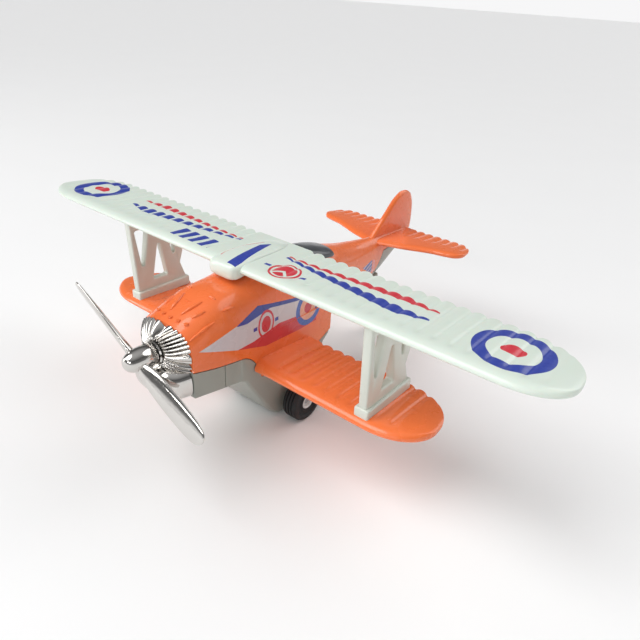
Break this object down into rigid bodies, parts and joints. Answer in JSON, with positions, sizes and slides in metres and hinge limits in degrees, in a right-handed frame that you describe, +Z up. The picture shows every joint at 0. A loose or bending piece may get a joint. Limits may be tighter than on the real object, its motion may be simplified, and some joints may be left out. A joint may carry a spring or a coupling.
{
  "type": "toy biplane scale model",
  "caption": "Pull-back toy biplane with a metal body and lower wing, plastic upper wing on strut frames, bright propeller and wheels driven by a wound spring.",
  "frame": {"origin": "on the ground, under the middle of the bounding box", "axes": "+Z up, nose towards -Y, left wing towards +X"},
  "size_m": [0.1906, 0.1357, 0.0578],
  "materials": {
    "paint_orange": "glossy orange enamel",
    "plastic_white": "glossy, slightly green white",
    "plastic_grey": "satin warm grey",
    "plastic_dark": "satin dark grey",
    "chrome": "vacuum-metallised plastic, mirror bright",
    "steel": "bright drawn steel",
    "spring_steel": "blued spring steel",
    "brass": "pressed brass",
    "plastic_cream": "unpainted gear plastic",
    "tyre_black": "soft black moulding"
  },
  "bodies": {
    "airframe": {"body_casting": "paint_orange", "chassis_base": "plastic_grey", "upper_wing": "plastic_white", "strut_left": "plastic_white", "strut_right": "plastic_white", "engine_cowl": "chrome", "nose_bush": "chrome", "canopy": "plastic_dark", "motor_case": "plastic_cream", "motor_cover": "plastic_cream", "mainspring": "spring_steel", "tail_axle": "steel", "screw_front": "steel", "screw_rear": "steel"},
    "propeller": {"propeller": "chrome", "propeller_shaft": "steel"},
    "wheelset": {"main_axle": "steel", "axle_pinion": "brass", "wheel_hub_left": "plastic_white", "wheel_hub_right": "plastic_white", "tyre_left": "tyre_black", "tyre_right": "tyre_black"},
    "spring_gear": {"spring_gear": "plastic_cream"},
    "tail_wheel": {"tail_wheel": "tyre_black"}
  },
  "joints": [
    {"name": "wheelset_spin", "type": "hinge", "parent": "airframe", "child": "wheelset", "pos_m": [0, -0.0152, 0.0069], "axis": [1, 0, 0], "continuous": true},
    {"name": "spring_gear_spin", "type": "hinge", "parent": "airframe", "child": "spring_gear", "pos_m": [0, -0.0152, 0.01722], "axis": [1, 0, 0], "continuous": true},
    {"name": "propeller_spin", "type": "hinge", "parent": "airframe", "child": "propeller", "pos_m": [0, -0.064, 0.0379], "axis": [0, 1, 0], "continuous": true},
    {"name": "tail_wheel_spin", "type": "hinge", "parent": "airframe", "child": "tail_wheel", "pos_m": [0, 0.048, 0.0035], "axis": [1, 0, 0], "continuous": true}
  ],
  "couplings": [
    {"joint": "spring_gear_spin", "follows": "wheelset_spin", "ratio": -0.41667}
  ]
}
